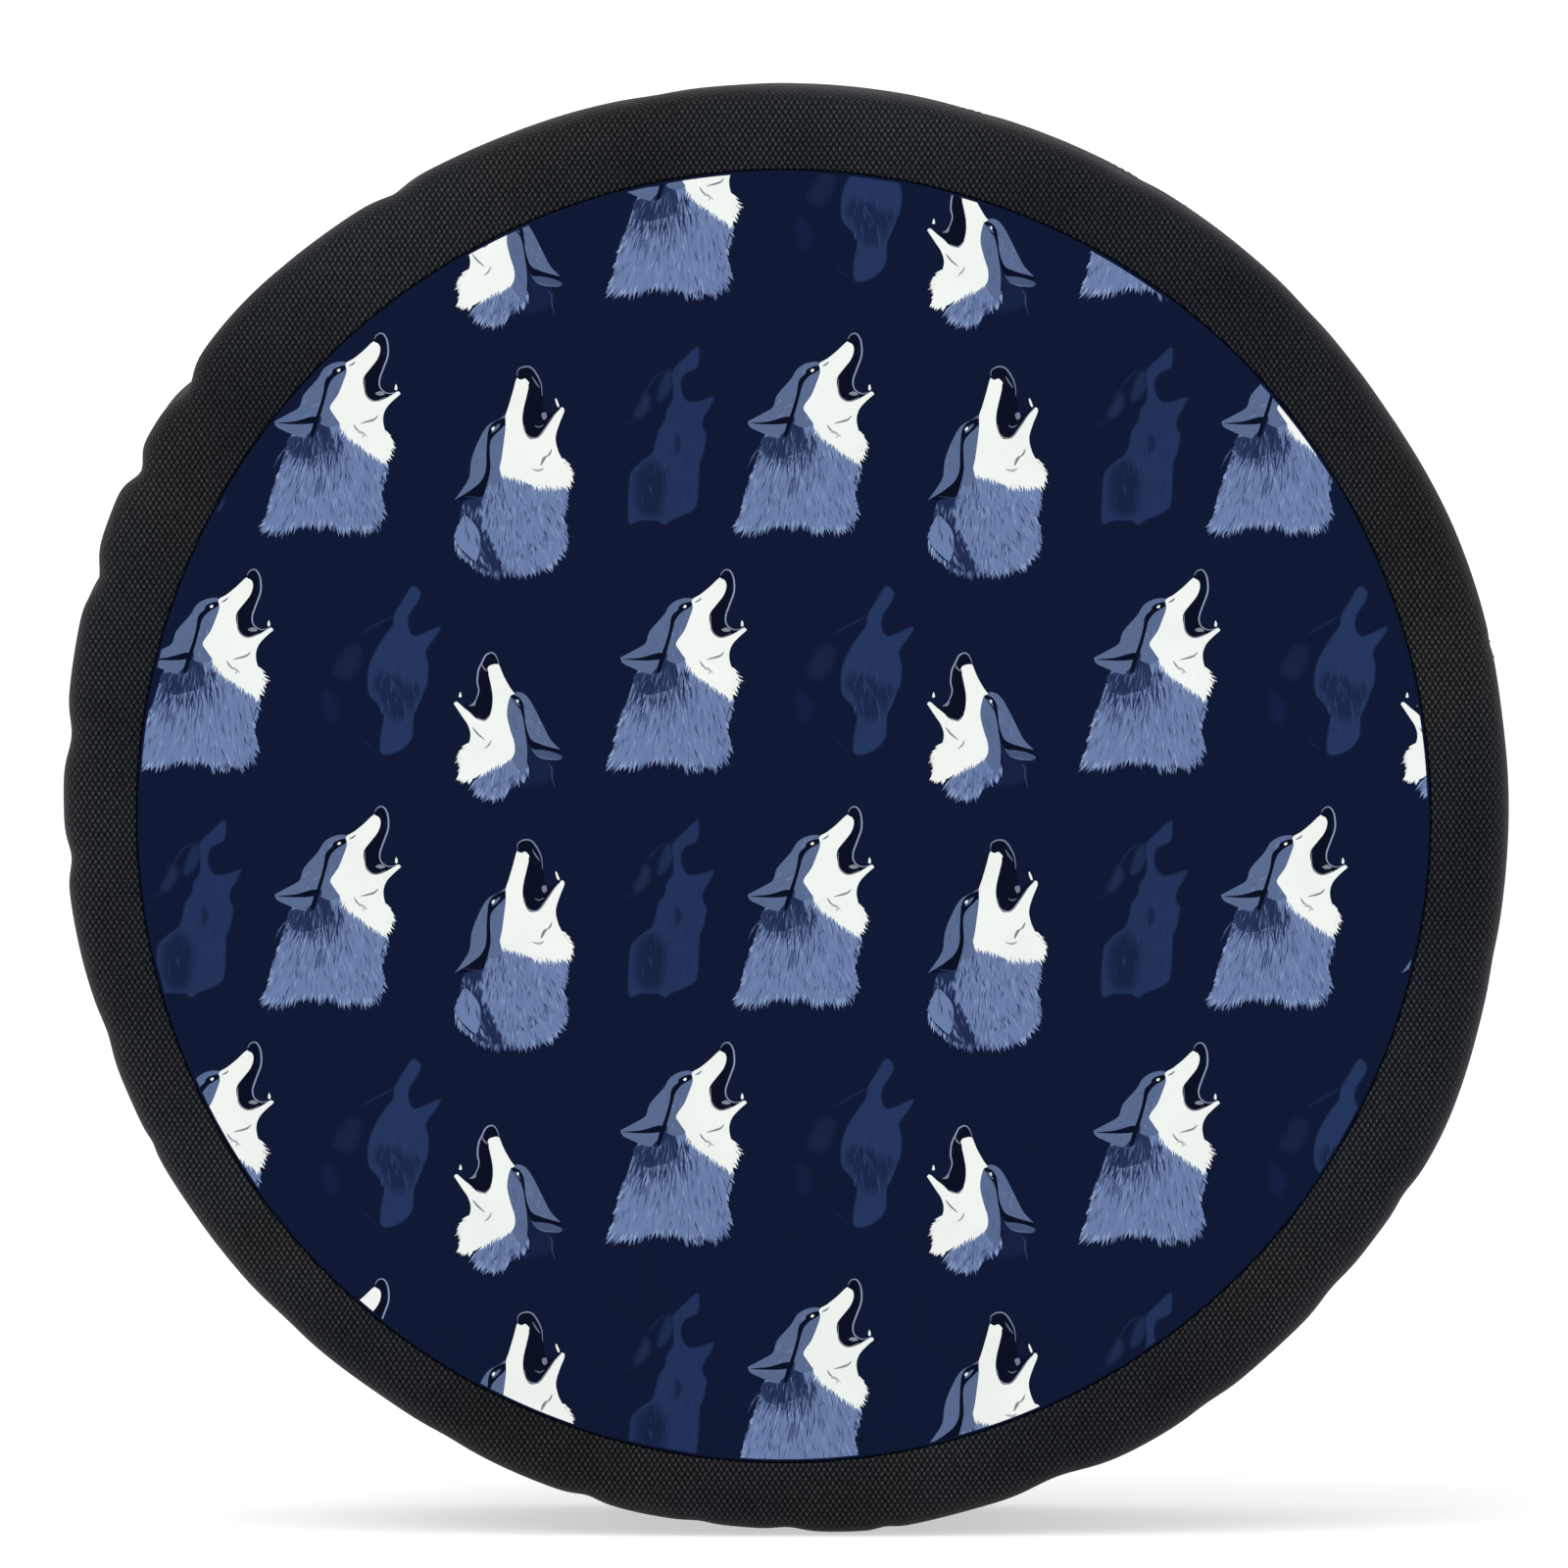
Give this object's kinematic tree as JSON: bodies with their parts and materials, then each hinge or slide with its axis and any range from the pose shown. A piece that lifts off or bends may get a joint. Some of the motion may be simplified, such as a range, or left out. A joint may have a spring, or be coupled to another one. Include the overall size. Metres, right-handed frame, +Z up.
{
  "type": "spare tire cover",
  "caption": "Soft spare wheel cover: printed round face with howling wolf heads on navy, black side band and rear skirt, open back with an elastic hem.",
  "frame": {"origin": "middle of the tyre that the cover is made for: on the wheel's axis, half way through the tyre's width", "axes": "+Y along the wheel's axis, out of the open back towards the vehicle, so -Y is the printed face; +Z up and +X to the right as seen from the front, with the cover worn upright"},
  "size_m": [0.7394, 0.2412, 0.7394],
  "materials": {
    "printed_cloth": "satin",
    "black_oxford": "satin",
    "binding_tape": "matte",
    "black_thread": "matte",
    "elastic": "matte",
    "label_satin": "satin",
    "label_thread": "matte"
  },
  "bodies": {
    "root": {"front_panel": "printed_cloth", "tread_band_upper": "black_oxford", "tread_band_lower": "black_oxford", "rear_skirt_left": "black_oxford", "rear_skirt_right": "black_oxford", "front_seam_binding": "binding_tape", "front_seam_stitching": "black_thread", "tread_join_tape_right": "binding_tape", "tread_join_tape_left": "binding_tape", "tread_join_stitching": "black_thread", "skirt_join_tape_top": "binding_tape", "skirt_join_tape_bottom": "binding_tape", "skirt_join_stitching": "black_thread", "rear_seam_stitching": "black_thread", "hem_casing": "black_oxford", "hem_elastic": "elastic", "elastic_join_tape": "binding_tape", "hem_stitching": "black_thread", "care_label": "label_satin", "care_label_stitching": "label_thread"}
  },
  "joints": []
}
